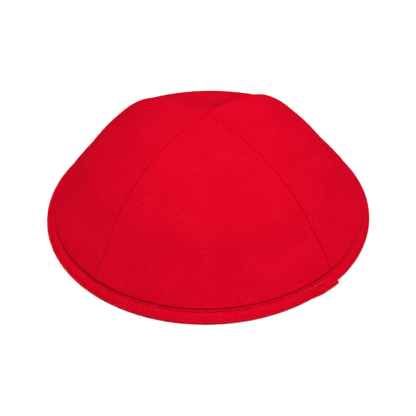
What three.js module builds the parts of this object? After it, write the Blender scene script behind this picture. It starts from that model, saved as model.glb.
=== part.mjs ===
// A four-panel kippah: four curved cloth gores that meet at the apex, and a bias tape folded over their rim.
// Millimetres, +Z up. The origin is the centre of the rim, on the surface that the tape rests on.
// The front panel faces -Y. Azimuths are in degrees about +Z, from +X.
import * as THREE from "three";

// Driving dimensions
const RIM_RADIUS = 85; // the tape's outside, where it meets the surface
const HEIGHT = 61.3; // the outside of the cloth at the apex
const CLOTH = 1.2; // thickness of a panel
const TAPE = 1.0; // thickness of one layer of the tape
const GAP = 0.3; // between pieces that touch in the real cap
const WIDTH_PER_THICKNESS = 1.08; // of a wall that leans as the cloth does at the rim, measured level
const TAPE_BEVEL = 0.9; // height of the turn at the tape's folded edge
const PANEL_EDGE = 4; // how far up the slope, inside the tape, the panels' lower edge lies
const PANEL_BEND = 6.8; // how far up the slope a panel's lowest bend lies, also inside the tape
const APEX_LEAN = -0.4; // the crown leans this far towards -X

const LAP_END_AZIMUTH = -40.5; // cut end of the tape, which lies on top
const LAP_LENGTH = 10; // length of tape that lies over its own start
const LAP_RAMP = 9; // length over which the tape climbs on to its start
const LAP_RISE = TAPE + GAP; // how far the end stands off over the start, and the start is raised to let it pass

// The tape's two legs. edge is how far up the slope a leg reaches, and turn where it leaves the cloth for the fold.
const LEGS = {
  outer: { turn: 3.7, edge: 7.1 },
  inner: { turn: 5.4, edge: 8.6 },
};

// The cloth's outside runs from the rim to the apex. At each radius, middle is its height halfway between two
// seams, and ridge is how much higher it stands at a seam, because each gore is drawn flatter than a round dome.
const PANEL_RIM_RADIUS = RIM_RADIUS - WIDTH_PER_THICKNESS * (TAPE + GAP);
const PROFILE = [
  { radius: 0, middle: HEIGHT, ridge: 0 },
  { radius: 12, middle: 59.2, ridge: 1.5 },
  { radius: 24, middle: 55.7, ridge: 2.9 },
  { radius: 36, middle: 50.6, ridge: 3.9 },
  { radius: 48, middle: 43.0, ridge: 4.6 },
  { radius: 60, middle: 33.1, ridge: 3.7 },
  { radius: 70, middle: 20.1, ridge: 3.1 },
  { radius: 77, middle: 10.5, ridge: 2.3 },
  { radius: PANEL_RIM_RADIUS, middle: 0, ridge: 0 },
];

// Each panel lies between the seam of its own row and that of the next. lift is how far a seam stands above the
// profile at half the radius, and swell the same for the middle of the panel after it.
const SEAMS = [
  { azimuth: -133.9, lift: 0.5, panel: "front", swell: 0 },
  { azimuth: -42.7, lift: -0.7, panel: "right", swell: 1.6 },
  { azimuth: 45.3, lift: 1.2, panel: "back", swell: -0.4 },
  { azimuth: 134.6, lift: 0.1, panel: "left", swell: 1.3 },
];

// Stretches where a panel stands out between its seams, or sags where the height is below zero: a bell round a
// radius, with next to nothing left at twice the reach.
const SWELLS = [
  { panel: "back", radius: 30, reach: 17, height: -5 },
  { panel: "back", radius: 60, reach: 8, height: 2.2 },
  { panel: "left", radius: 28, reach: 13, height: 1.8 },
];

// Near the rim the wall stands more upright at the cap's two sides than in front: how much higher it is there, and
// how far in from the rim that shows most.
const STANDS = { left: 1.7, right: 2.5, reach: 3 };

const COLUMNS = 20; // facets across a panel
const RINGS = [0.8, 3.5, 8, 13, 19, 25.5, 32, 38.5, 45, 51.5, 57.5, 63, 68, 72, 76, 79.2]; // radii of a panel's facets
const TAPE_STEP = 4.2; // degrees of azimuth per facet of the tape

const RED_CLOTH = new THREE.MeshStandardMaterial({ color: 0xd80a26, roughness: 0.85, metalness: 0 });
const RED_TAPE = new THREE.MeshStandardMaterial({ color: 0xd60c2a, roughness: 0.8, metalness: 0 });

// The value of one column of PROFILE at a radius: a cubic through the rows, level at the apex.
function profileValue(column, radius) {
  const slopeAt = (row) => {
    if (row === 0) return 0;
    const [before, after] = [PROFILE[row - 1], PROFILE[Math.min(row + 1, PROFILE.length - 1)]];
    return (after[column] - before[column]) / (after.radius - before.radius);
  };
  let row = PROFILE.length - 2;
  while (row > 0 && PROFILE[row].radius > radius) row -= 1;
  const [start, end] = [PROFILE[row], PROFILE[row + 1]];
  const span = end.radius - start.radius;
  const t = (radius - start.radius) / span;
  const [rise, climb] = [t * t * (3 - 2 * t), t * (1 - t)];
  return (
    start[column] * (1 - rise) +
    end[column] * rise +
    span * climb * ((1 - t) * slopeAt(row) - t * slopeAt(row + 1))
  );
}

// The panel at an azimuth, and the place across it: -1 at its first seam, 0 in the middle, 1 at the next seam.
function placeAcross(azimuth) {
  for (const [index, seam] of SEAMS.entries()) {
    const next = SEAMS[(index + 1) % SEAMS.length];
    const width = THREE.MathUtils.euclideanModulo(next.azimuth - seam.azimuth, 360);
    const along = THREE.MathUtils.euclideanModulo(azimuth - seam.azimuth, 360);
    if (along < width) return { seam, next, across: (2 * along) / width - 1 };
  }
  throw new Error("no panel at azimuth " + azimuth);
}

// Height of the cloth's outside at a radius and a place across one panel.
function clothHeight(radius, { seam, next, across }) {
  const edge = across * across;
  const lift = ((1 - across) * seam.lift + (1 + across) * next.lift) / 2;
  const bulge = Math.sin((Math.PI * radius) / PANEL_RIM_RADIUS) ** 2;
  let swell = bulge * seam.swell;
  for (const local of SWELLS) {
    if (local.panel === seam.panel) swell += local.height * Math.exp(-(((radius - local.radius) / local.reach) ** 2));
  }
  const flat = profileValue("middle", radius) + profileValue("ridge", radius) * edge;
  return flat + swell * (1 - edge) + bulge * lift * edge + standing(radius, { seam, next, across });
}

// How much higher the wall is near the rim at the cap's two sides.
function standing(radius, { seam, next, across }) {
  const width = THREE.MathUtils.euclideanModulo(next.azimuth - seam.azimuth, 360);
  const sideways = Math.cos(THREE.MathUtils.degToRad(seam.azimuth + ((1 + across) / 2) * width));
  const most = sideways > 0 ? STANDS.right : STANDS.left;
  const inward = Math.max(PANEL_RIM_RADIUS - radius, 0) / STANDS.reach;
  return most * sideways ** 2 * inward * Math.exp(1 - inward);
}

// A point of the wall in its upright plane through the axis: outward is measured square to the cloth's outside.
function wallPoint(radius, place, outward) {
  const step = 0.05;
  const drop = clothHeight(radius - step, place) - clothHeight(radius + step, place);
  const normal = new THREE.Vector2(drop, 2 * step).normalize();
  return new THREE.Vector2(radius, clothHeight(radius, place)).addScaledVector(normal, outward);
}

// The radius that lies a given way up the slope from the cloth's lowest line, found in short steps.
function radiusUpSlope(slant, place) {
  const steps = 24;
  const run = 0.1;
  let radius = PANEL_RIM_RADIUS;
  for (let i = 0; i < steps; i += 1) {
    const rise = clothHeight(radius - run, place) - clothHeight(radius, place);
    radius -= ((slant / steps) * run) / Math.hypot(run, rise);
  }
  return radius;
}

// A closed body through closed outlines that stand in upright planes: place3d puts each outline's points in space.
function loft(outlines, place3d) {
  const size = outlines[0].length;
  const positions = outlines.flatMap((outline, i) => outline.flatMap((point) => place3d(point, i).toArray()));
  const index = [];
  for (let i = 0; i + 1 < outlines.length; i += 1) {
    for (let j = 0; j < size; j += 1) {
      const [a, b] = [i * size + j, i * size + ((j + 1) % size)];
      index.push(a, b, b + size, a, b + size, a + size);
    }
  }
  const last = (outlines.length - 1) * size;
  for (const [a, b, c] of THREE.ShapeUtils.triangulateShape(outlines[0], [])) index.push(a, b, c);
  for (const [a, b, c] of THREE.ShapeUtils.triangulateShape(outlines.at(-1), [])) {
    index.push(last + a, last + c, last + b);
  }
  const geometry = new THREE.BufferGeometry();
  geometry.setAttribute("position", new THREE.Float32BufferAttribute(positions, 3));
  geometry.setIndex(index);
  geometry.computeVertexNormals();
  return geometry;
}

// A point of an upright plane, at its azimuth, with the crown's lean.
function inSpace({ x: radius, y: height }, azimuth) {
  const angle = THREE.MathUtils.degToRad(azimuth);
  const lean = APEX_LEAN * (height / HEIGHT) ** 2;
  return new THREE.Vector3(radius * Math.cos(angle) + lean, radius * Math.sin(angle), height);
}

// One gore: the cloth between two seams, from its lower edge inside the tape to its tip at the apex.
function panel(seam, next) {
  const width = THREE.MathUtils.euclideanModulo(next.azimuth - seam.azimuth, 360);
  const shares = Array.from({ length: COLUMNS + 1 }, (_, i) => (2 * i) / COLUMNS - 1);
  const outlines = shares.map((across) => {
    const place = { seam, next, across };
    const radii = [...RINGS, radiusUpSlope(PANEL_BEND, place), radiusUpSlope(PANEL_EDGE, place)];
    const outside = radii.map((radius) => wallPoint(radius, place, 0));
    const inside = radii.map((radius) => wallPoint(radius, place, -CLOTH)).reverse();
    return [...outside, ...inside];
  });
  const geometry = loft(outlines, (point, i) => {
    const halfGap = THREE.MathUtils.radToDeg(GAP / 2 / point.x);
    return inSpace(point, seam.azimuth + width / 2 + shares[i] * (width / 2 - halfGap));
  });
  const mesh = new THREE.Mesh(geometry, RED_CLOTH);
  mesh.name = "panel_" + seam.panel;
  return mesh;
}

// The tape's folded section at an azimuth, as a closed outline: down its outside face, round under the rim and up
// inside, then back along the face that grips the cloth. The feet are the two corners of the fold.
function tapeOutline(azimuth, standOff, raised) {
  const place = placeAcross(azimuth);
  const radii = {
    outer: { turn: radiusUpSlope(LEGS.outer.turn, place), edge: radiusUpSlope(LEGS.outer.edge, place) },
    inner: { turn: radiusUpSlope(LEGS.inner.turn, place), edge: radiusUpSlope(LEGS.inner.edge, place) },
  };
  const near = GAP + standOff;
  const far = near + TAPE;
  const outerFoot = RIM_RADIUS + standOff;
  const [edge, turn] = [radii.inner.edge, radii.inner.turn].map((radius) => wallPoint(radius, place, -CLOTH - far));
  const run = (turn.x - edge.x) / (edge.y - turn.y);
  const innerFoot = turn.x + run * (turn.y - TAPE_BEVEL - raised);
  const fold = (radius, height) => new THREE.Vector2(radius, height + raised);
  return [
    wallPoint(radii.outer.edge, place, far),
    wallPoint(radii.outer.turn, place, far),
    fold(outerFoot, TAPE_BEVEL),
    fold(outerFoot - TAPE_BEVEL, 0),
    fold(innerFoot + TAPE_BEVEL, 0),
    fold(innerFoot, TAPE_BEVEL),
    turn,
    edge,
    wallPoint(radii.inner.edge, place, -CLOTH - near),
    wallPoint(radii.inner.turn, place, -CLOTH - near),
    fold(innerFoot + TAPE, TAPE + TAPE_BEVEL / 3),
    fold(innerFoot + TAPE + TAPE_BEVEL / 3, TAPE),
    fold(outerFoot - TAPE - TAPE_BEVEL / 3, TAPE),
    fold(outerFoot - TAPE, TAPE + TAPE_BEVEL / 3),
    wallPoint(radii.outer.turn, place, near),
    wallPoint(radii.outer.edge, place, near),
  ];
}

// The bias tape: one strip once round the rim, whose end climbs on to its own start.
function binding() {
  const degreesPerMm = THREE.MathUtils.radToDeg(1 / RIM_RADIUS);
  const lap = LAP_LENGTH * degreesPerMm;
  const ramp = LAP_RAMP * degreesPerMm;
  const end = LAP_END_AZIMUTH + 360;
  const start = LAP_END_AZIMUTH - lap;
  const steps = Math.ceil((end - start) / TAPE_STEP);
  const azimuths = Array.from({ length: steps + 1 }, (_, i) => start + ((end - start) * i) / steps);
  const outlines = azimuths.map((azimuth) => {
    const climbed = THREE.MathUtils.smoothstep(azimuth, end - lap - ramp, end - lap);
    const sunk = THREE.MathUtils.smoothstep(azimuth, start + lap, start + lap + ramp);
    return tapeOutline(azimuth, LAP_RISE * climbed, LAP_RISE * (1 - sunk));
  });
  const mesh = new THREE.Mesh(loft(outlines, (point, i) => inSpace(point, azimuths[i])), RED_TAPE);
  mesh.name = "binding";
  return mesh;
}

const kippah = new THREE.Group();
for (const [index, seam] of SEAMS.entries()) kippah.add(panel(seam, SEAMS[(index + 1) % SEAMS.length]));
kippah.add(binding());
export default kippah;
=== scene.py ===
"""A four-panel kippah of red cotton twill, bound with bias tape, resting on a pale floor.

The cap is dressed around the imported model: its cloth follows the same surface, from the same driving sizes.
Sizes are in millimetres and angles in degrees, and every mesh is in metres, in the model's own frame: +Z up,
the origin at the centre of the rim, the front panel facing -Y. Azimuths run counter-clockwise from +X.
"""

from __future__ import annotations

import logging
import math
from dataclasses import dataclass
from enum import Enum

import bmesh
import bpy
from mathutils import Matrix, Vector, noise

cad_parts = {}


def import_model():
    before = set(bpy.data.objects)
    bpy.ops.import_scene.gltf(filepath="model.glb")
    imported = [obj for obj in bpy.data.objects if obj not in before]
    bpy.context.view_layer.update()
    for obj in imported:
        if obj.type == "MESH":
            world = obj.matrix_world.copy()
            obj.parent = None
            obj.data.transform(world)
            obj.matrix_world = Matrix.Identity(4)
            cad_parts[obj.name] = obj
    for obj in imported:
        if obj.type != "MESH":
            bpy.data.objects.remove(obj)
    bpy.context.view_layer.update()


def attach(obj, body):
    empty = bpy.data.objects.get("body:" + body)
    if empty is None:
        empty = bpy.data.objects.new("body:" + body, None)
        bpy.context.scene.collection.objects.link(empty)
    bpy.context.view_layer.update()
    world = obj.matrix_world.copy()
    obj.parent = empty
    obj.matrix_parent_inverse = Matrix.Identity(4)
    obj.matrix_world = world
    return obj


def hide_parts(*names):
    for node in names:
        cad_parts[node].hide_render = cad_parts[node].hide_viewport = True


LOG = logging.getLogger("kippah")

MM = 0.001  # metres in a millimetre
PHOTO_PIXELS = 416  # the photograph is square
WALK = 0.5  # length of the steps in which a slope is measured
STEPS_TO_TOP = 260  # enough of them to reach the apex anywhere
STEPS_NEAR_RIM = 20  # enough of them to pass the tape anywhere
CUT_MAP = "cut"  # UV map: a point's place on the flat cloth in metres, or round and along a stitch
BANDS = {"wave_type": "BANDS", "bands_direction": "X", "wave_profile": "SIN"}  # of a wave texture


def linear(hex_colour: str) -> tuple[float, float, float, float]:
    """Turns an sRGB hex colour into the linear one that shaders take.

    Args:
        hex_colour: The colour as #RRGGBB.

    Returns:
        Red, green, blue and an alpha of one.
    """
    channels = [int(hex_colour[i : i + 2], 16) / 255 for i in (1, 3, 5)]
    curved = [c / 12.92 if c <= 0.04045 else ((c + 0.055) / 1.055) ** 2.4 for c in channels]
    return (*curved, 1.0)


def smooth(share: float) -> float:
    """Eases a share from 0 to 1, level at both ends."""
    t = min(max(share, 0.0), 1.0)
    return t * t * (3 - 2 * t)


def hump(distance: float, reach: float) -> float:
    """Gives a bell: 1 at no distance, and next to nothing at twice the reach."""
    return math.exp(-((distance / reach) ** 2))


def add_node(
    tree: bpy.types.NodeTree, kind: str, settings: dict[str, object], inputs: dict[str | int, object]
) -> bpy.types.Node:
    """Adds one node with its settings and links.

    Args:
        tree: The node tree that takes it.
        kind: Blender's name for the type of node.
        settings: Values for the node's own properties.
        inputs: For each input, by name or number, the socket that feeds it or the value that it holds.

    Returns:
        The new node.
    """
    node = tree.nodes.new(kind)
    for key, value in settings.items():
        setattr(node, key, value)
    for key, value in inputs.items():
        if isinstance(value, bpy.types.NodeSocket):
            tree.links.new(value, node.inputs[key])
        else:
            node.inputs[key].default_value = value
    return node


def new_material(name: str) -> bpy.types.Material:
    """Makes an empty node material.

    Args:
        name: The material's name.

    Returns:
        The material, with no nodes yet.
    """
    material = bpy.data.materials.new(name)
    material.use_nodes = True
    material.node_tree.nodes.clear()
    return material


def add_surface(tree: bpy.types.NodeTree, inputs: dict[str | int, object]) -> None:
    """Ends a material in a principled shader.

    Args:
        tree: The material's node tree.
        inputs: What the shader's inputs take, as for add_node.
    """
    shader = add_node(tree, "ShaderNodeBsdfPrincipled", {}, inputs)
    add_node(tree, "ShaderNodeOutputMaterial", {}, {"Surface": shader.outputs["BSDF"]})


def lay_flat(bm: bmesh.types.BMesh, flats: dict[int, tuple[float, float]]) -> None:
    """Writes the cut map.

    Args:
        bm: The piece.
        flats: The place on the flat cloth of each vertex, by its index.
    """
    cut_map = bm.loops.layers.uv.new(CUT_MAP)
    for face in bm.faces:
        for loop in face.loops:
            loop[cut_map].uv = flats[loop.vert.index]


def finish_piece(bm: bmesh.types.BMesh, name: str, materials: list[bpy.types.Material]) -> bpy.types.Object:
    """Turns a bmesh into a smooth-shaded object at the origin.

    Args:
        bm: The piece, in metres and in place. It is freed.
        name: The piece's name.
        materials: Its material slots, in order.

    Returns:
        The object, linked to the scene.
    """
    mesh = bpy.data.meshes.new(name)
    for face in bm.faces:
        face.smooth = True
    bm.to_mesh(mesh)
    bm.free()
    for material in materials:
        mesh.materials.append(material)
    piece = bpy.data.objects.new(name, mesh)
    bpy.context.scene.collection.objects.link(piece)
    return piece


@dataclass(frozen=True)
class ProfileRow:
    """A row of the cap's profile: its height halfway between two seams, and how much higher a seam is."""

    radius: float
    middle: float
    ridge: float


@dataclass(frozen=True)
class Seam:
    """A seam from the apex to the rim, and the panel that comes after it."""

    azimuth: float
    lift: float
    panel: str
    swell: float


@dataclass(frozen=True)
class Swell:
    """A stretch where a panel stands out between its seams, or sags if its height is below zero."""

    panel: str
    radius: float
    reach: float
    height: float


@dataclass(frozen=True)
class Place:
    """A place across one panel: the panel's number, and -1 at its first seam to 1 at the next."""

    panel: int
    across: float


@dataclass(frozen=True)
class Crown:
    """The outside of the cloth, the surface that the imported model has."""

    rim_radius: float = 85.0
    height: float = 61.3
    apex_lean: float = -0.4
    cloth_radius: float = 83.596
    tape_edge: float = 6.3  # how far up the slope the tape reaches outside
    pulled_in: float = 1.4  # how far the tape's stitching draws the cloth in
    turned_under: float = 0.7  # the stretch above the tape's edge over which the cloth comes out again
    more_at_left: float = 0.8  # the share by which both are greater at the left
    stands_left: float = 1.7  # how much more upright the wall stands at the left than in front, as a height
    stands_right: float = 2.5
    stands_reach: float = 3.0  # how far in from the rim that shows most
    swells: tuple[Swell, ...] = (
        Swell(panel="back", radius=30, reach=17, height=-5.0),
        Swell(panel="back", radius=60, reach=8, height=2.2),
        Swell(panel="left", radius=28, reach=13, height=1.8),
    )
    profile: tuple[ProfileRow, ...] = (
        ProfileRow(radius=0, middle=61.3, ridge=0),
        ProfileRow(radius=12, middle=59.2, ridge=1.5),
        ProfileRow(radius=24, middle=55.7, ridge=2.9),
        ProfileRow(radius=36, middle=50.6, ridge=3.9),
        ProfileRow(radius=48, middle=43.0, ridge=4.6),
        ProfileRow(radius=60, middle=33.1, ridge=3.7),
        ProfileRow(radius=70, middle=20.1, ridge=3.1),
        ProfileRow(radius=77, middle=10.5, ridge=2.3),
        ProfileRow(radius=83.596, middle=0, ridge=0),
    )
    seams: tuple[Seam, ...] = (
        Seam(azimuth=-133.9, lift=0.5, panel="front", swell=0),
        Seam(azimuth=-42.7, lift=-0.7, panel="right", swell=1.6),
        Seam(azimuth=45.3, lift=1.2, panel="back", swell=-0.4),
        Seam(azimuth=134.6, lift=0.1, panel="left", swell=1.3),
    )

    def width(self, panel: int) -> float:
        """Gives the angle between a panel's two seams."""
        following = self.seams[(panel + 1) % len(self.seams)]
        return (following.azimuth - self.seams[panel].azimuth) % 360

    def place(self, azimuth: float) -> Place:
        """Finds the place at an azimuth.

        Args:
            azimuth: Any azimuth.

        Returns:
            The panel there, and how far across it that is.
        """
        for panel, seam in enumerate(self.seams):
            along = (azimuth - seam.azimuth) % 360
            if along < self.width(panel):
                return Place(panel, 2 * along / self.width(panel) - 1)
        raise ValueError(f"no panel at azimuth {azimuth}")

    def _slope(self, column: str, row: int) -> float:
        """Gives how fast the profile rises with the radius.

        Args:
            column: middle or ridge.
            row: The number of the row at which it is asked.

        Returns:
            The rise for each millimetre outwards.
        """
        if row == 0:
            return 0.0
        before, after = self.profile[row - 1], self.profile[min(row + 1, len(self.profile) - 1)]
        return (getattr(after, column) - getattr(before, column)) / (after.radius - before.radius)

    def value(self, column: str, radius: float) -> float:
        """Reads one column of the profile at a radius, by a cubic through its rows.

        Args:
            column: middle or ridge.
            radius: The distance from the axis.

        Returns:
            The height in that column.
        """
        row = len(self.profile) - 2
        while row > 0 and self.profile[row].radius > radius:
            row -= 1
        start, end = self.profile[row], self.profile[row + 1]
        span = end.radius - start.radius
        t = (radius - start.radius) / span
        rise, climb = t * t * (3 - 2 * t), t * (1 - t)
        bend = (1 - t) * self._slope(column, row) - t * self._slope(column, row + 1)
        return getattr(start, column) * (1 - rise) + getattr(end, column) * rise + span * climb * bend

    def height_at(self, radius: float, place: Place) -> float:
        """Gives the height of the cloth's outside.

        Args:
            radius: The distance from the axis.
            place: The place across a panel.

        Returns:
            The height, before the crown's lean.
        """
        seam, following = self.seams[place.panel], self.seams[(place.panel + 1) % len(self.seams)]
        edge = place.across**2
        lift = ((1 - place.across) * seam.lift + (1 + place.across) * following.lift) / 2
        bulge = math.sin(math.pi * radius / self.cloth_radius) ** 2
        flat = self.value("middle", radius) + self.value("ridge", radius) * edge
        swell = bulge * seam.swell
        for local in self.swells:
            if local.panel == seam.panel:
                swell += local.height * hump(radius - local.radius, local.reach)
        return flat + swell * (1 - edge) + bulge * lift * edge + self._stands(radius, place)

    def _stands(self, radius: float, place: Place) -> float:
        """Gives how much higher the wall is near the rim at the two sides, where it stands more upright.

        Args:
            radius: The distance from the axis.
            place: The place across a panel.

        Returns:
            The height to add.
        """
        azimuth = self.seams[place.panel].azimuth + (1 + place.across) / 2 * self.width(place.panel)
        sideways = math.cos(math.radians(azimuth))
        most = self.stands_right if sideways > 0 else self.stands_left
        inward = max(self.cloth_radius - radius, 0.0) / self.stands_reach
        return most * sideways**2 * inward * math.exp(1 - inward)

    def upright(self, radius: float, place: Place, outward: float) -> tuple[float, float]:
        """Finds a point of the wall in its upright plane through the axis.

        Args:
            radius: The radius on the cloth's outside.
            place: The place across the panel.
            outward: The distance from the outside, square to it.

        Returns:
            The point's radius and height.
        """
        step = 0.05
        drop = self.height_at(radius - step, place) - self.height_at(radius + step, place)
        reach = math.hypot(drop, 2 * step)
        height = self.height_at(radius, place)
        return radius + outward * drop / reach, height + outward * 2 * step / reach

    def slope_radii(self, place: Place, step: float, count: int) -> list[float]:
        """Walks up the slope from the cloth's lowest line.

        Args:
            place: The place across the panel.
            step: The length of a step along the cloth.
            count: The number of steps.

        Returns:
            The radius at the start and after each step.
        """
        run = 0.1
        radii = [self.cloth_radius]
        for _ in range(count):
            rise = self.height_at(radii[-1] - run, place) - self.height_at(radii[-1], place)
            radii.append(radii[-1] - step * run / math.hypot(run, rise))
        return radii

    @staticmethod
    def read_slope(slope: list[float], slant: float) -> float:
        """Reads the radius at a way up the slope from a walk in steps of WALK."""
        step = int(slant / WALK)
        return slope[step] + (slant / WALK - step) * (slope[step + 1] - slope[step])

    def in_space(self, radius: float, height: float, azimuth: float) -> Vector:
        """Puts a point of an upright plane in space, with the crown's lean, in metres."""
        angle, lean = math.radians(azimuth), self.apex_lean * (height / self.height) ** 2
        return Vector((radius * math.cos(angle) + lean, radius * math.sin(angle), height)) * MM

    def sunk(self, slant: float, azimuth: float) -> float:
        """Gives how far the tape's stitching pulls the cloth in; it turns under just above the tape's edge.

        Args:
            slant: The way up the slope.
            azimuth: The azimuth: the cloth is pulled in further, over a longer stretch, at the left.

        Returns:
            The distance inwards.
        """
        more = 1 + self.more_at_left * max(-math.cos(math.radians(azimuth)), 0.0) ** 2
        return self.pulled_in * more * (1 - smooth((slant - self.tape_edge) / (self.turned_under * more)))

    def seam_distance(self, azimuth: float) -> float:
        """Measures how far a place on the rim is from the nearest seam."""
        turns = [abs((azimuth - seam.azimuth + 180) % 360 - 180) for seam in self.seams]
        return math.radians(min(turns)) * self.rim_radius


class Grain(Enum):
    """How a piece was laid on the cloth: the turn of the warp from the piece's long way."""

    STRAIGHT = 0.0
    BIAS = 45.0


@dataclass(frozen=True)
class CottonTwill:
    """Cotton twill, woven with more warp than weft and dyed in the piece: matt, with fine steep ridges.

    The ridges catch the light along their crests, the dye sits deeper between them, and a short nap of
    fibre ends lightens the cloth where it turns away from the eye.
    """

    name: str
    grain: Grain = Grain.STRAIGHT
    main: str = "#BB041C"
    deep: str = "#B00012"
    pale: str = "#C50F2B"
    roughness: float = 0.9
    roughness_play: float = 0.07  # how much smoother the crests are, and rougher the hollows
    ridge_mm: float = 1.0  # from one ridge to the next; really 0.7, drawn wider so that it shows at all
    ridge_lean: float = 65.0  # of the ridges from the weft
    yarn_mm: float = 0.34
    slub_mm: float = 0.6
    slub_share: float = 0.4  # a slub's width for its length
    mottle_mm: float = 14.0  # size of the patches in which slubs hide the ridges more or less
    relief_mm: float = 0.026
    nap: float = 0.013
    nap_colour: str = "#FF60D8"

    def material(self) -> bpy.types.Material:
        """Builds the cloth's material.

        Returns:
            A node material that reads the piece's own cut map.
        """
        material = new_material(self.name)
        tree = material.node_tree
        cut = add_node(tree, "ShaderNodeUVMap", {"uv_map": CUT_MAP}, {}).outputs["UV"]
        turn = math.radians(self.grain.value)
        warp_way = add_node(
            tree, "ShaderNodeMapping", {"vector_type": "TEXTURE"}, {"Vector": cut, "Rotation": (0, 0, turn)}
        ).outputs["Vector"]
        ridge_way = add_node(
            tree,
            "ShaderNodeMapping",
            {"vector_type": "TEXTURE"},
            {"Vector": warp_way, "Rotation": (0, 0, math.radians(self.ridge_lean - 90))},
        ).outputs["Vector"]
        wave_unit = math.pi / 10  # a wave texture at scale 1 repeats after this length
        ridges = add_node(
            tree,
            "ShaderNodeTexWave",
            BANDS,
            {
                "Vector": ridge_way,
                "Scale": wave_unit / (self.ridge_mm * MM),
                "Distortion": 1.4,
                "Detail": 2.0,
                "Detail Scale": 0.35,
            },
        ).outputs["Fac"]
        yarns = add_node(
            tree,
            "ShaderNodeTexWave",
            BANDS,
            {
                "Vector": warp_way,
                "Scale": wave_unit / (self.yarn_mm * MM),
                "Distortion": 0.6,
                "Detail Scale": 0.5,
            },
        ).outputs["Fac"]
        slub_way = add_node(
            tree,
            "ShaderNodeMapping",
            {"vector_type": "POINT"},
            {"Vector": warp_way, "Scale": (1.0, self.slub_share, 1.0)},
        ).outputs["Vector"]
        slubs = add_node(
            tree,
            "ShaderNodeTexNoise",
            {"noise_dimensions": "2D"},
            {"Vector": slub_way, "Scale": 1 / (self.slub_mm * MM), "Detail": 3.0, "Roughness": 0.6},
        ).outputs["Fac"]
        mottle = add_node(
            tree,
            "ShaderNodeTexNoise",
            {"noise_dimensions": "2D"},
            {"Vector": cut, "Scale": 1 / (self.mottle_mm * MM), "Detail": 4.0, "Roughness": 0.55},
        ).outputs["Fac"]
        weave = add_node(
            tree, "ShaderNodeMix", {"data_type": "FLOAT"}, {"Factor": 0.25, "A": ridges, "B": yarns}
        ).outputs["Result"]
        patchy = add_node(
            tree,
            "ShaderNodeMapRange",
            {},
            {"Value": mottle, "From Min": 0.38, "From Max": 0.62, "To Min": 0.5, "To Max": 0.95},
        ).outputs["Result"]
        height = add_node(
            tree, "ShaderNodeMix", {"data_type": "FLOAT"}, {"Factor": patchy, "A": weave, "B": slubs}
        ).outputs["Result"]
        tone = add_node(
            tree, "ShaderNodeMix", {"data_type": "FLOAT"}, {"Factor": 0.22, "A": height, "B": mottle}
        ).outputs["Result"]
        ramp = add_node(tree, "ShaderNodeValToRGB", {}, {"Fac": tone})
        stops = ramp.color_ramp.elements
        stops[0].position, stops[0].color = 0.25, linear(self.deep)
        stops[1].position, stops[1].color = 0.75, linear(self.pale)
        middle = stops.new(0.5)
        middle.color = linear(self.main)
        hollows, crests = self.roughness + self.roughness_play, self.roughness - self.roughness_play
        roughness = add_node(
            tree, "ShaderNodeMapRange", {}, {"Value": height, "To Min": hollows, "To Max": crests}
        ).outputs["Result"]
        bump = add_node(
            tree, "ShaderNodeBump", {}, {"Height": height, "Distance": self.relief_mm * MM, "Strength": 1.0}
        ).outputs["Normal"]
        add_surface(
            tree,
            {
                "Base Color": ramp.outputs["Color"],
                "Roughness": roughness,
                "Normal": bump,
                "Specular IOR Level": 0.0,
                "Sheen Weight": self.nap,
                "Sheen Roughness": 0.35,
                "Sheen Tint": linear(self.nap_colour),
            },
        )
        return material


@dataclass(frozen=True)
class SewingThread:
    """Two-ply polyester sewing thread, dyed to match and a little smoother than the cotton; its colour is
    drawn lighter and pinker than the cotton's as a painted glint.
    """

    name: str
    # lighter and pinker than the cloth: a painted glint on the stitches, not the thread's dye
    colour: str = "#EE3450"
    deep: str = "#B00C24"
    twist_lean: float = 35.0  # of the plies across the stitch
    twist_scale: float = 1.6

    def material(self) -> bpy.types.Material:
        """Builds the thread's material.

        Returns:
            A node material with the twist of the plies along each stitch.
        """
        material = new_material(self.name)
        tree = material.node_tree
        cut = add_node(tree, "ShaderNodeUVMap", {"uv_map": CUT_MAP}, {}).outputs["UV"]
        lean = math.radians(self.twist_lean)
        twist_way = add_node(
            tree, "ShaderNodeMapping", {"vector_type": "TEXTURE"}, {"Vector": cut, "Rotation": (0, 0, lean)}
        ).outputs["Vector"]
        twist = add_node(
            tree,
            "ShaderNodeTexWave",
            BANDS,
            {"Vector": twist_way, "Scale": self.twist_scale},
        ).outputs["Fac"]
        colour = add_node(tree, "ShaderNodeValToRGB", {}, {"Fac": twist})
        stops = colour.color_ramp.elements
        stops[0].position, stops[0].color = 0.0, linear(self.deep)
        stops[1].position, stops[1].color = 0.6, linear(self.colour)
        bump = add_node(
            tree, "ShaderNodeBump", {}, {"Height": twist, "Distance": 0.04 * MM, "Strength": 1.0}
        ).outputs["Normal"]
        roughness = add_node(
            tree, "ShaderNodeMapRange", {}, {"Value": twist, "To Min": 0.7, "To Max": 0.5}
        ).outputs["Result"]
        add_surface(
            tree,
            {
                "Base Color": colour.outputs["Color"],
                "Roughness": roughness,
                "Normal": bump,
                "Specular IOR Level": 0.06,
            },
        )
        return material


@dataclass(frozen=True)
class Station:
    """A column of a panel's grid: how far from the seam it lies, how deep, and where on the flat cut."""

    inset: float
    depth: float
    flat: float


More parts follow.
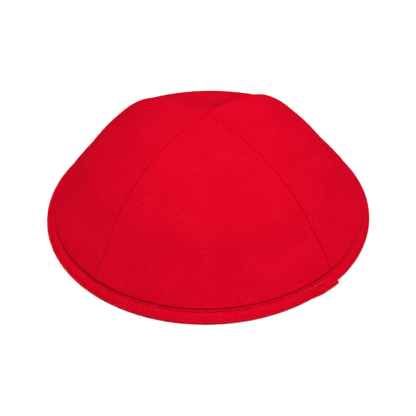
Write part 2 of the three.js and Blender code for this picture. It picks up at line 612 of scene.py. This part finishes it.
@dataclass(frozen=True)
class Gore:
    """One of the four panels: cloth shaped between two seams, its edges turned in under it.

    Each edge rolls over at the seam and lies back against the inside as the seam allowance.
    """

    crown: Crown
    panel: int
    cloth: bpy.types.Material
    thickness: float = 0.6
    turn: float = 0.4  # radius at the middle of the cloth where it folds back
    fold_flat: float = 2.6  # how far past the seam the allowance starts on the flat cloth, in turns
    full_half: float = 1.8  # half the panel's width from which its folds have their full size
    allowance: float = 7.0
    under_share: float = 0.55  # the most of half the panel's width that the allowance takes up
    lower_edge: float = 2.6  # how far up the slope, inside the tape
    tip_start: float = 6.0  # the radius where the last rows to the tip begin
    tip_radius: float = 0.15
    tip_rows: int = 9
    sunk_end: float = 8.6  # how far up the slope the rows are close together, to turn under above the tape
    sunk_rows: int = 24
    sunk_fade: float = 24.0  # the stretch above that, where rows along the rim become rows round the axis
    rows: int = 94
    under_columns: int = 4
    fold_columns: int = 8
    near_columns: int = 9
    middle_columns: int = 18
    near: float = 9.0  # the stretch beside a seam that has finer columns
    near_share: float = 0.45  # the most of half the panel's width that it takes up
    near_spread: float = 1.6  # the power by which those columns come further apart
    ridge_height: float = 0.12  # how far the cloth stands proud beside a seam, over its fold
    ridge_inset: float = 2.0
    ridge_reach: float = 1.1
    pucker_height: float = 0.035
    pucker_inset: float = 1.6
    pucker_reach: float = 2.2
    pucker_pitch: float = 4.6
    uneven_height: float = 0.035

    @property
    def name(self) -> str:
        """Names the piece after its panel."""
        return "cloth_" + self.crown.seams[self.panel].panel

    def stations(self, radius: float) -> tuple[list[Station], float]:
        """Works out the columns from one edge of the panel to its middle, in a row.

        Args:
            radius: The row's radius.

        Returns:
            The stations, and the share of its full size that the fold has there: less towards the tip.
        """
        half = radius * math.radians(self.crown.width(self.panel)) / 2
        share = min(1.0, half / self.full_half)
        turn, skin = self.turn * share, self.thickness * share / 2
        line = skin + turn
        under = max(min(self.allowance, self.under_share * half), line)
        near = line + min(self.near, self.near_share * half) * share
        found = []
        for i in range(self.under_columns):
            inset = under + (line - under) * i / self.under_columns
            found.append(Station(inset, skin + 2 * turn, line - inset - self.fold_flat * turn))
        for i in range(self.fold_columns + 1):
            angle = math.pi * (1 - i / self.fold_columns)
            inset = line - turn * math.sin(angle)
            found.append(Station(inset, skin + turn * (1 - math.cos(angle)), line - turn * angle))
        for i in range(1, self.near_columns + 1):
            inset = line + (near - line) * (i / self.near_columns) ** self.near_spread
            found.append(Station(inset, skin, inset))
        for i in range(1, self.middle_columns + 1):
            inset = near + (half - near) * i / self.middle_columns
            found.append(Station(inset, skin, inset))
        return found, share

    def relief(self, slant: float, inset: float, azimuth: float) -> float:
        """Gives how far the cloth stands out from its smooth surface.

        Args:
            slant: The way up the slope from the cloth's lowest line.
            inset: The distance from the nearer seam.
            azimuth: The azimuth, which picks the part of the noise.

        Returns:
            The distance outwards.
        """
        ridge = self.ridge_height * hump(inset - self.ridge_inset, self.ridge_reach)
        drift = noise.noise(Vector((slant / 9, azimuth / 30, 4.0)))
        wave = math.sin(2 * math.pi * (slant / self.pucker_pitch + 0.8 * drift))
        pucker = self.pucker_height * hump(inset - self.pucker_inset, self.pucker_reach) * wave
        uneven = self.uneven_height * noise.noise(Vector((slant / 24, azimuth / 17, 0.5 + self.panel)))
        return ridge + pucker + uneven - self.crown.sunk(slant, azimuth)

    def column_slopes(self, radius: float) -> tuple[list[list[float]], list[list[float]]]:
        """Walks up the slope near the rim at each column.

        Args:
            radius: The lowest row's radius.

        Returns:
            The walks of the columns from the first seam to the middle, and of those from the next seam.
        """
        width = math.radians(self.crown.width(self.panel))
        across = [2 * station.inset / radius / width for station in self.stations(radius)[0]]
        first = [Place(self.panel, way - 1) for way in across]
        following = [Place(self.panel, 1 - way) for way in across]
        return tuple(
            [self.crown.slope_radii(place, WALK, STEPS_NEAR_RIM) for place in places]
            for places in (first, following)
        )

    def build(self) -> bpy.types.Object:
        """Builds the panel as one sheet and gives it its thickness.

        Returns:
            The finished piece.
        """
        crown, seam = self.crown, self.crown.seams[self.panel]
        width = math.radians(crown.width(self.panel))
        slope = crown.slope_radii(Place(self.panel, 0.0), WALK, STEPS_TO_TOP)
        top = next(i for i, radius in enumerate(slope) if radius < self.tip_start)
        sunk_rise = self.sunk_end - self.lower_edge
        slants = [self.lower_edge + sunk_rise * i / self.sunk_rows for i in range(self.sunk_rows)]
        slants += [self.sunk_end + (top * WALK - self.sunk_end) * i / self.rows for i in range(self.rows)]
        radii = [crown.read_slope(slope, slant) for slant in slants]
        for i in range(self.tip_rows):
            left_over = 1 - i / (self.tip_rows - 1)
            radii.append(self.tip_radius + (slope[top] - self.tip_radius) * left_over)
            slants.append(top * WALK + slope[top] - radii[-1])
        first_slopes, following_slopes = self.column_slopes(radii[0])
        bm = bmesh.new()
        half_columns = self.under_columns + self.fold_columns + 1 + self.near_columns + self.middle_columns
        columns, rows = 2 * half_columns - 1, len(radii)
        bmesh.ops.create_grid(bm, x_segments=columns - 1, y_segments=rows - 1, size=1.0)
        weights = bm.verts.layers.deform.new()
        flats: dict[int, tuple[float, float]] = {}
        prepared = [self.stations(radius) for radius in radii]
        bm.verts.index_update()
        for vert in bm.verts:
            column = round((vert.co.x + 1) / 2 * (columns - 1))
            row = round((vert.co.y + 1) / 2 * (rows - 1))
            stations, share = prepared[row]
            left = column < half_columns
            number = column if left else columns - 1 - column
            station = stations[number]
            turn = station.inset / radii[row]
            angle = turn if left else width - turn
            place = Place(self.panel, 2 * angle / width - 1)
            azimuth = seam.azimuth + math.degrees(angle)
            own_slope = (first_slopes if left else following_slopes)[number]
            low = min(slants[row], self.sunk_end)
            shift = crown.read_slope(own_slope, low) - crown.read_slope(slope, low)
            shift *= 1 - smooth((slants[row] - self.sunk_end) / self.sunk_fade)
            out = self.relief(slants[row], station.inset, azimuth) * share - station.depth
            radius, height = crown.upright(radii[row] + shift, place, out)
            vert.co = crown.in_space(radius, height, azimuth)
            vert[weights][0] = share
            half = radii[row] * width / 2
            across = (half - station.flat) * (-1 if left else 1)
            flats[vert.index] = (across * MM, slants[row] * MM)
        lay_flat(bm, flats)
        piece = finish_piece(bm, self.name, [self.cloth])
        group = piece.vertex_groups.new(name="thickness")
        thicken = piece.modifiers.new("cloth", "SOLIDIFY")
        thicken.thickness = self.thickness * MM
        thicken.offset = 0.0
        thicken.vertex_group = group.name
        thicken.use_quality_normals = True
        return piece


@dataclass(frozen=True)
class Binding:
    """The bias tape: a strip folded over the rim and sewn through, its end lapped over its start."""

    crown: Crown
    tape: bpy.types.Material
    end_azimuth: float = -42.6
    lap: float = 10.0
    ramp: float = 9.0
    rise: float = 1.0  # how far the end stands off over its start
    end_flare: float = 0.35  # how much further the cut end springs out at the rim
    thickness: float = 1.0
    lap_thickness: float = 0.95
    near: float = 0.04  # how far the legs' hidden sides lie off the cloth
    edge_round: float = 0.6  # how far down the slope the fold of the free edge rounds over
    round_steps: int = 6
    belly: float = 1.6  # how far the foot stands out from the slope of the cloth
    face_bottom: float = 0.4  # the slant where the face meets the turn under the rim
    inner_face_bottom: float = 3.1
    face_steps: int = 17
    face_start: float = 0.6  # of the face's first point from the rounded edge, in steps
    foot: float = 0.8  # radius where the tape turns under the rim
    foot_turns: tuple[int, ...] = (38, 16, -8, -32, -60, -90)  # angles of its points, down the outside
    inner_foot_turns: tuple[int, ...] = (-90, -115, -140, -165)  # and up the inside
    inner_lean: float = 0.55  # how far outwards the inner leg comes on its way down, for its height
    inner_off: float = 0.2  # the share of the end's standing off that the inner side of the foot has
    grip: float = 2.4  # the slant where a leg's hidden side starts
    grip_raised: float = 1.2  # how much higher that is where the start is raised, for its rise
    closing: float = 2.0  # flat width of the strip that closes the section, out of sight
    inner_edge: float = 8.6
    stitch_line: float = 4.5
    inner_stitch_line: float = 6.6
    stitch_pitch: float = 3.2
    line_sunk: float = 0.04
    line_reach: float = 0.6
    hole_sunk: float = 0.55
    hole_across: float = 0.5
    hole_along: float = 0.55
    drag_height: float = 0.04
    drag_below: float = 2.0  # how far below the stitch line the drag lines show most
    drag_reach: float = 1.8
    drag_pitch: float = 5.4
    cloth_thickness: float = 0.6
    doubled_within: float = 6.6  # how far from a seam its allowances lie between the legs
    doubled_fade: float = 2.6
    doubled_more: float = 1.35  # how much thicker the cloth is there, with the air in the fold
    column_step: float = 0.54

    @property
    def length(self) -> float:
        """Gives the tape's length, its lap included."""
        return 2 * math.pi * self.crown.rim_radius + self.lap

    def azimuth(self, along: float) -> float:
        """Turns a distance along the tape into an azimuth."""
        return self.end_azimuth - math.degrees((self.length - along) / self.crown.rim_radius)

    def stand_off(self, along: float) -> float:
        """Gives how far the tape has climbed on to its own start."""
        return self.rise * smooth((along - (self.length - self.lap - self.ramp)) / self.ramp)

    def raised(self, along: float) -> float:
        """Gives how far the start is raised at the rim to let the end pass under it."""
        return self.rise * (1 - smooth((along - self.lap) / self.ramp))

    def body(self, along: float) -> float:
        """Gives the thickness of one leg: less where two are pressed on each other."""
        pressed = max(self.stand_off(along), self.raised(along)) / self.rise
        return self.thickness + (self.lap_thickness - self.thickness) * pressed

    def cloth_depth(self, azimuth: float) -> float:
        """Gives how thick the cloth between the legs is: doubled by the seam allowances."""
        past = self.crown.seam_distance(azimuth) - self.doubled_within
        return self.cloth_thickness * (1 + self.doubled_more * (1 - smooth(past / self.doubled_fade)))

    def relief(self, along: float, slant: float, line: float) -> float:
        """Gives the sewn surface of a leg: the sunk stitch line, its needle holes and the drag between them.

        Args:
            along: The distance along the tape.
            slant: The way up the slope.
            line: The slant of the stitch line.

        Returns:
            The distance outwards, mostly below zero.
        """
        beside = slant - line
        hole = abs((along / self.stitch_pitch) % 1 - 0.5) * self.stitch_pitch  # from the nearest needle hole
        groove = -self.line_sunk * hump(beside, self.line_reach)
        groove -= self.hole_sunk * hump(beside, self.hole_across) * hump(hole, self.hole_along)
        drift = noise.noise(Vector((along / 14, slant / 6, line)))
        wave = math.sin(2 * math.pi * ((along + slant) / self.drag_pitch + 0.9 * drift))
        return groove + self.drag_height * hump(beside + self.drag_below, self.drag_reach) * wave

    def section(self, along: float) -> list[tuple[float, float, float]]:
        """Works out the folded section at a distance along the tape.

        The points run up the outer leg's grip, over its folded edge, down its face, round under the rim,
        up the inner leg's face, over its edge and down its grip.

        Args:
            along: The distance along the tape.

        Returns:
            Each point's radius and height, and its way round the tape's width.
        """
        crown = self.crown
        azimuth = self.azimuth(along)
        place = crown.place(azimuth)
        slope = crown.slope_radii(place, WALK, STEPS_NEAR_RIM)

        def point(slant: float, outward: float) -> tuple[float, float]:
            """Finds a point at a distance from the cloth's outside, at a way up its slope."""
            return crown.upright(crown.read_slope(slope, slant), place, outward)

        body, off, up = self.body(along), self.stand_off(along), self.raised(along)
        flare = self.end_flare * smooth((along - self.length + self.lap) / self.lap)
        depth = self.cloth_depth(azimuth)
        near = self.near + off
        grip = self.grip + self.grip_raised * up

        def leg(
            edge: float, line: float, bottom: float, base: float, belly: float, sign: int
        ) -> tuple[list[tuple[float, float]], list[tuple[float, float]]]:
            """Works out one leg of the section.

            Args:
                edge: The slant of the folded edge.
                line: The slant of the stitch line.
                bottom: The slant where the face ends.
                base: The distance of the hidden side from the cloth's outside.
                belly: How far the face swells out below the stitch line.
                sign: 1 outside, -1 inside.

            Returns:
                The grip with the rounded edge, going up, and the face, going down.
            """

            def lies(slant: float, height: float) -> tuple[float, float]:
                """Finds a point of the leg at a height over the cloth that it is sewn to."""
                return point(slant, sign * (base + height) - crown.sunk(slant, azimuth))

            grips = [lies(slant, 0.0) for slant in (grip, line)]
            rounds = []
            for i in range(self.round_steps + 1):
                angle = math.pi * i / self.round_steps
                slant = edge + self.edge_round * (math.sin(angle) - 1)
                rounds.append(lies(slant, body / 2 * (1 - math.cos(angle))))
            faces = []
            top = edge - self.edge_round
            for i in range(self.face_steps):
                slant = top + (bottom - top) * (i + self.face_start) / self.face_steps
                swell = belly * math.sin(math.pi / 2 * min(max((line - slant) / (line - bottom), 0.0), 1.0))
                faces.append(lies(slant, body + swell + self.relief(along, slant, line)))
            return grips + rounds, faces

        outer_grip, outer_face = leg(
            crown.tape_edge, self.stitch_line, self.face_bottom + up, near, self.belly + flare, 1
        )
        inner_grip, inner_face = leg(
            self.inner_edge, self.inner_stitch_line, self.inner_face_bottom + up, depth + near, 0.0, -1
        )
        found = outer_grip + outer_face
        foot_radius = crown.rim_radius + off + flare
        for turn in map(math.radians, self.foot_turns):
            found.append(
                (foot_radius + self.foot * (math.cos(turn) - 1), up + self.foot * (1 + math.sin(turn)))
            )
        heel_radius, heel_height = inner_face[-1]
        inner_foot = heel_radius + self.inner_lean * (heel_height - self.foot - up) + self.inner_off * off
        for turn in map(math.radians, self.inner_foot_turns):
            found.append(
                (inner_foot + self.foot * (math.cos(turn) + 1), up + self.foot * (1 + math.sin(turn)))
            )
        found += inner_face[::-1] + inner_grip[::-1]
        ways, way = [], 0.0
        for i, here in enumerate(found):
            before = found[i - 1] if i else here
            way += math.hypot(here[0] - before[0], here[1] - before[1])
            ways.append((*here, way))
        return ways

    def build(self) -> bpy.types.Object:
        """Builds the tape as a closed tube of its section.

        Returns:
            The finished piece.
        """
        steps = round(self.length / self.column_step)
        alongs = [self.length * i / steps for i in range(steps + 1)]
        sections = [self.section(along) for along in alongs]
        size = len(sections[0])
        bm = bmesh.new()
        bmesh.ops.create_grid(bm, x_segments=steps, y_segments=size, size=1.0)
        flats: dict[int, tuple[float, float]] = {}
        bm.verts.index_update()
        for vert in bm.verts:
            column = round((vert.co.x + 1) / 2 * steps)
            row = round((vert.co.y + 1) / 2 * size)
            radius, height, way = sections[column][row % size]
            vert.co = self.crown.in_space(radius, height, self.azimuth(alongs[column]))
            flats[vert.index] = (alongs[column] * MM, (way if row < size else way + self.closing) * MM)
        lay_flat(bm, flats)
        bmesh.ops.remove_doubles(bm, verts=bm.verts, dist=1e-7)
        bmesh.ops.holes_fill(bm, edges=[edge for edge in bm.edges if edge.is_boundary], sides=0)
        bmesh.ops.recalc_face_normals(bm, faces=bm.faces)
        return finish_piece(bm, "rim_binding", [self.tape])


@dataclass(frozen=True)
class RimStitches:
    """The machine stitches through the tape, one row outside and one inside."""

    binding: Binding
    thread: bpy.types.Material
    length: float = 2.5
    width: float = 0.4
    bedded: float = 0.3  # how deep a stitch's middle lies in the tape
    proud: float = 0.22  # how much less deep it lies before the lap, where the thread is drawn less tight
    proud_reach: float = 42.0
    uneven_height: float = 0.08
    start_gap: float = 0.5  # from the lap to the first stitch
    end_gap: float = 1.5  # from the last stitch to the tape's cut end
    line_steps: int = 12  # in which the way up to the stitch line is measured
    aim_turn: float = 0.2  # from a stitch to the point that it is aimed at

    def build(self) -> bpy.types.Object:
        """Builds both rows as one piece of small spindle-shaped stitches.

        Returns:
            The finished piece.
        """
        tape = self.binding
        single = bmesh.new()
        single.loops.layers.uv.new(CUT_MAP)
        bmesh.ops.create_uvsphere(single, u_segments=8, v_segments=6, radius=0.5, calc_uvs=True)
        ball = bpy.data.meshes.new("stitch")
        single.to_mesh(ball)
        single.free()
        bm = bmesh.new()
        first = math.ceil((tape.lap + self.start_gap) / tape.stitch_pitch)
        last = math.floor((tape.length - self.end_gap) / tape.stitch_pitch)
        for number in range(first, last):
            along = number * tape.stitch_pitch  # the needle holes lie half a pitch before and after
            for line, sign in ((tape.stitch_line, 1), (tape.inner_stitch_line, -1)):
                stitch = ball.copy()
                stitch.transform(self.seat(along, line, sign))
                bm.from_mesh(stitch)
                bpy.data.meshes.remove(stitch)
        bpy.data.meshes.remove(ball)
        return finish_piece(bm, "rim_stitches", [self.thread])

    def seat(self, along: float, line: float, sign: int) -> Matrix:
        """Places one stitch on the tape.

        Args:
            along: The distance along the tape of its middle.
            line: The slant of the stitch line.
            sign: 1 outside, -1 inside.

        Returns:
            The matrix that turns a unit ball into the stitch.
        """
        tape, crown = self.binding, self.binding.crown
        azimuth = tape.azimuth(along)
        loose = self.proud * (1 - smooth((tape.length - along) / self.proud_reach))
        uneven = self.uneven_height * noise.noise(Vector((along / 7.0, line, 9.5)))
        height = tape.near + tape.stand_off(along) + tape.body(along) - self.bedded + loose + uneven
        depth = tape.cloth_depth(azimuth) if sign < 0 else 0.0
        out = sign * (height + depth) - crown.sunk(line, azimuth)

        def point(turn: float, outward: float) -> Vector:
            """Finds a point over the stitch line.

            Args:
                turn: Its azimuth from the stitch's own.
                outward: Its distance from the cloth's outside.

            Returns:
                The point in space, in metres.
            """
            place = crown.place(azimuth + turn)
            radius = crown.slope_radii(place, line / self.line_steps, self.line_steps)[-1]
            return crown.in_space(*crown.upright(radius, place, outward), azimuth + turn)

        middle, outer, ahead = point(0.0, out), point(0.0, out + sign), point(self.aim_turn, out)
        up = (outer - middle).normalized()
        along_way = (ahead - middle).normalized()
        side = up.cross(along_way).normalized()
        turn = Matrix((along_way, side, up)).transposed().to_4x4()
        size = Matrix.Diagonal((self.width * MM, self.width * MM, self.length * MM, 1.0))
        lay = Matrix.Rotation(math.radians(90), 4, "Y")
        return Matrix.Translation(middle) @ turn @ lay @ size


@dataclass(frozen=True)
class SoftBox:
    """A soft studio light, aimed at the cap."""

    name: str
    azimuth: float
    elevation: float
    distance: float
    size: float
    watts: float
    colour: str = "#FFFFFF"

    def build(self) -> None:
        """Hangs the light and aims it at the origin."""
        light = bpy.data.lights.new(self.name, "AREA")
        light.shape = "DISK"
        light.size = self.size * MM
        light.energy = self.watts
        light.color = linear(self.colour)[:3]
        lamp = bpy.data.objects.new(self.name, light)
        turn, rise = math.radians(self.azimuth), math.radians(self.elevation)
        way = Vector((math.cos(turn) * math.cos(rise), math.sin(turn) * math.cos(rise), math.sin(rise)))
        lamp.location = way * self.distance * MM
        lamp.rotation_euler = way.to_track_quat("Z", "Y").to_euler()
        bpy.context.scene.collection.objects.link(lamp)


@dataclass(frozen=True)
class Studio:
    """The pale floor, the white surround, the lights and the camera."""

    floor_radius: float = 4000.0
    floor_gap: float = 0.05
    floor_colour: str = "#E2E2E2"
    surround: float = 0.04
    eye: tuple[float, float, float] = (0.0, -449.7, 378.1)
    focal_pixels: float = 1106.7  # from the perspective of the rim and seams in the photograph
    roll: float = -1.11
    raise_pixels: float = 1.3  # how far below the photograph's middle the rim's centre lies
    lights: tuple[SoftBox, ...] = (
        SoftBox("overhead", azimuth=-80, elevation=75, distance=4000, size=2330, watts=206),
        SoftBox("left", azimuth=180, elevation=45, distance=4000, size=2330, watts=43),
        SoftBox("right", azimuth=0, elevation=25, distance=4000, size=1300, watts=52),
    )

    def build(self) -> None:
        """Sets up everything round the cap."""
        self._floor()
        self._surround()
        for light in self.lights:
            light.build()
        self._camera()

    def _floor(self) -> None:
        """Lays the floor, a hair below the rim."""
        paper = new_material("matt_white_paper")
        add_surface(
            paper.node_tree,
            {"Base Color": linear(self.floor_colour), "Roughness": 0.95, "Specular IOR Level": 0.1},
        )
        bm = bmesh.new()
        bmesh.ops.create_circle(
            bm,
            cap_ends=True,
            segments=64,
            radius=self.floor_radius * MM,
            matrix=Matrix.Translation((0, 0, -self.floor_gap * MM)),
        )
        finish_piece(bm, "floor", [paper])

    def _surround(self) -> None:
        """Lights the cap evenly from all round, as a white tent does."""
        world = bpy.data.worlds.new("tent")
        world.use_nodes = True
        world.node_tree.nodes.clear()
        back = add_node(
            world.node_tree,
            "ShaderNodeBackground",
            {},
            {"Color": linear("#FFFFFF"), "Strength": self.surround},
        )
        add_node(world.node_tree, "ShaderNodeOutputWorld", {}, {"Surface": back.outputs["Background"]})
        bpy.context.scene.world = world

    def _camera(self) -> None:
        """Stands the camera where the photograph's was."""
        lens = bpy.data.cameras.new("camera")
        lens.lens = self.focal_pixels / PHOTO_PIXELS * lens.sensor_width
        lens.clip_start, lens.clip_end = 0.01, 20.0
        camera = bpy.data.objects.new("camera", lens)
        camera.location = Vector(self.eye) * MM
        aim = Vector(self.eye).to_track_quat("Z", "Y")
        tip = Matrix.Rotation(self.raise_pixels / self.focal_pixels, 4, "X")
        roll = Matrix.Rotation(math.radians(self.roll), 4, "Z")
        camera.matrix_world = Matrix.Translation(camera.location) @ aim.to_matrix().to_4x4() @ roll @ tip
        bpy.context.scene.collection.objects.link(camera)
        bpy.context.scene.camera = camera


@dataclass(frozen=True)
class Kippah:
    """The whole cap: four gores, the tape round their rim, and its stitches."""

    crown: Crown = Crown()

    def build(self) -> None:
        """Builds every piece, says what it rides on and what it stands for."""
        cloth = CottonTwill("cotton_twill").material()
        tape = CottonTwill(
            "cotton_twill_on_the_bias",
            grain=Grain.BIAS,
            # main and deep are darker than the panels' cloth: painted shade on the tape's face, which stands
            # more upright than it is drawn
            main="#B5031A",
            deep="#9E000F",
            pale="#C8112D",
            relief_mm=0.035,
        ).material()
        thread = SewingThread("polyester_thread").material()
        for panel, seam in enumerate(self.crown.seams):
            piece = Gore(self.crown, panel, cloth).build()
            self._settle(piece, "panel_cloth", "panel_" + seam.panel)
        binding = Binding(self.crown, tape)
        self._settle(binding.build(), "binding_tape", "binding")
        self._settle(RimStitches(binding, thread).build(), "thread", None)

    @staticmethod
    def _settle(piece: bpy.types.Object, slot: str, node: str | None) -> None:
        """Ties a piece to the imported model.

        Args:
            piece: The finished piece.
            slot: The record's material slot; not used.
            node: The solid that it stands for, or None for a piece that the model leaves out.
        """
        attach(piece, "root")
        if node:
            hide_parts(node)
        LOG.info("%s: %d faces, stands for %s", piece.name, len(piece.data.polygons), node)


def main() -> None:
    """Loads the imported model, dresses it, and lights it."""
    logging.basicConfig(level=logging.INFO)
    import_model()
    bpy.context.scene.view_settings.view_transform = "Standard"  # the red is too pure for a film curve
    Studio().build()
    Kippah().build()
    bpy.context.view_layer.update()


if __name__ == "__main__":
    main()
